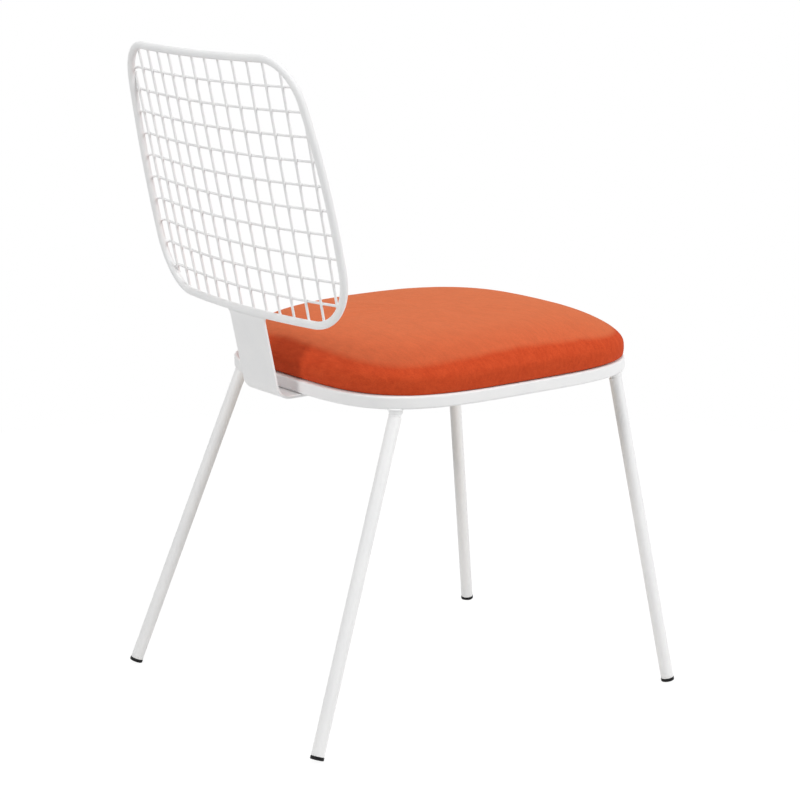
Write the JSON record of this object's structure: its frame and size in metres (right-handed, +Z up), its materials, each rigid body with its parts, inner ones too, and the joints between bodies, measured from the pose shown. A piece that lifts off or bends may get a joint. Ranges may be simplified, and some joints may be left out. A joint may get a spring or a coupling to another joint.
{
  "type": "wire-back side chair",
  "caption": "Side chair with a white powder-coated steel frame, splayed tube legs, a curved welded wire back in a bent rod, and a terracotta upholstered seat pad.",
  "frame": {"origin": "on the floor, at the centre of the bottom of the bounding box, midway between the feet across the chair", "axes": "+Z up, the chair faces -Y and its back is on the +Y side, +X to the sitter's left"},
  "size_m": [0.466, 0.5672, 0.8134],
  "materials": {
    "white_powder_coat": "satin white powder coat",
    "terracotta_fabric": "short soft pile, matte",
    "black_plastic": "moulded, matte",
    "birch_plywood": "sanded, uncoated",
    "zinc_plated_steel": "zinc plated"
  },
  "bodies": {
    "root": {"seat_ring": "white_powder_coat", "seat_board": "birch_plywood", "seat_cushion": "terracotta_fabric", "leg_front_left": "white_powder_coat", "leg_boss_front_left": "white_powder_coat", "foot_cap_front_left": "black_plastic", "leg_front_right": "white_powder_coat", "leg_boss_front_right": "white_powder_coat", "foot_cap_front_right": "black_plastic", "leg_rear_left": "white_powder_coat", "leg_boss_rear_left": "white_powder_coat", "foot_cap_rear_left": "black_plastic", "leg_rear_right": "white_powder_coat", "leg_boss_rear_right": "white_powder_coat", "foot_cap_rear_right": "black_plastic", "back_frame": "white_powder_coat", "upright_wire_01": "white_powder_coat", "upright_wire_02": "white_powder_coat", "upright_wire_03": "white_powder_coat", "upright_wire_04": "white_powder_coat", "upright_wire_05": "white_powder_coat", "upright_wire_06": "white_powder_coat", "upright_wire_07": "white_powder_coat", "upright_wire_08": "white_powder_coat", "upright_wire_09": "white_powder_coat", "upright_wire_10": "white_powder_coat", "upright_wire_11": "white_powder_coat", "upright_wire_12": "white_powder_coat", "upright_wire_13": "white_powder_coat", "upright_wire_14": "white_powder_coat", "cross_wire_01": "white_powder_coat", "cross_wire_02": "white_powder_coat", "cross_wire_03": "white_powder_coat", "cross_wire_04": "white_powder_coat", "cross_wire_05": "white_powder_coat", "cross_wire_06": "white_powder_coat", "cross_wire_07": "white_powder_coat", "cross_wire_08": "white_powder_coat", "cross_wire_09": "white_powder_coat", "cross_wire_10": "white_powder_coat", "back_bracket": "white_powder_coat", "bracket_bolt_left": "zinc_plated_steel", "bracket_bolt_right": "zinc_plated_steel", "seat_tab_front": "white_powder_coat", "seat_screw_front": "zinc_plated_steel", "seat_tab_rear": "white_powder_coat", "seat_screw_rear": "zinc_plated_steel", "seat_tab_left": "white_powder_coat", "seat_screw_left": "zinc_plated_steel", "seat_tab_right": "white_powder_coat", "seat_screw_right": "zinc_plated_steel"}
  },
  "joints": []
}
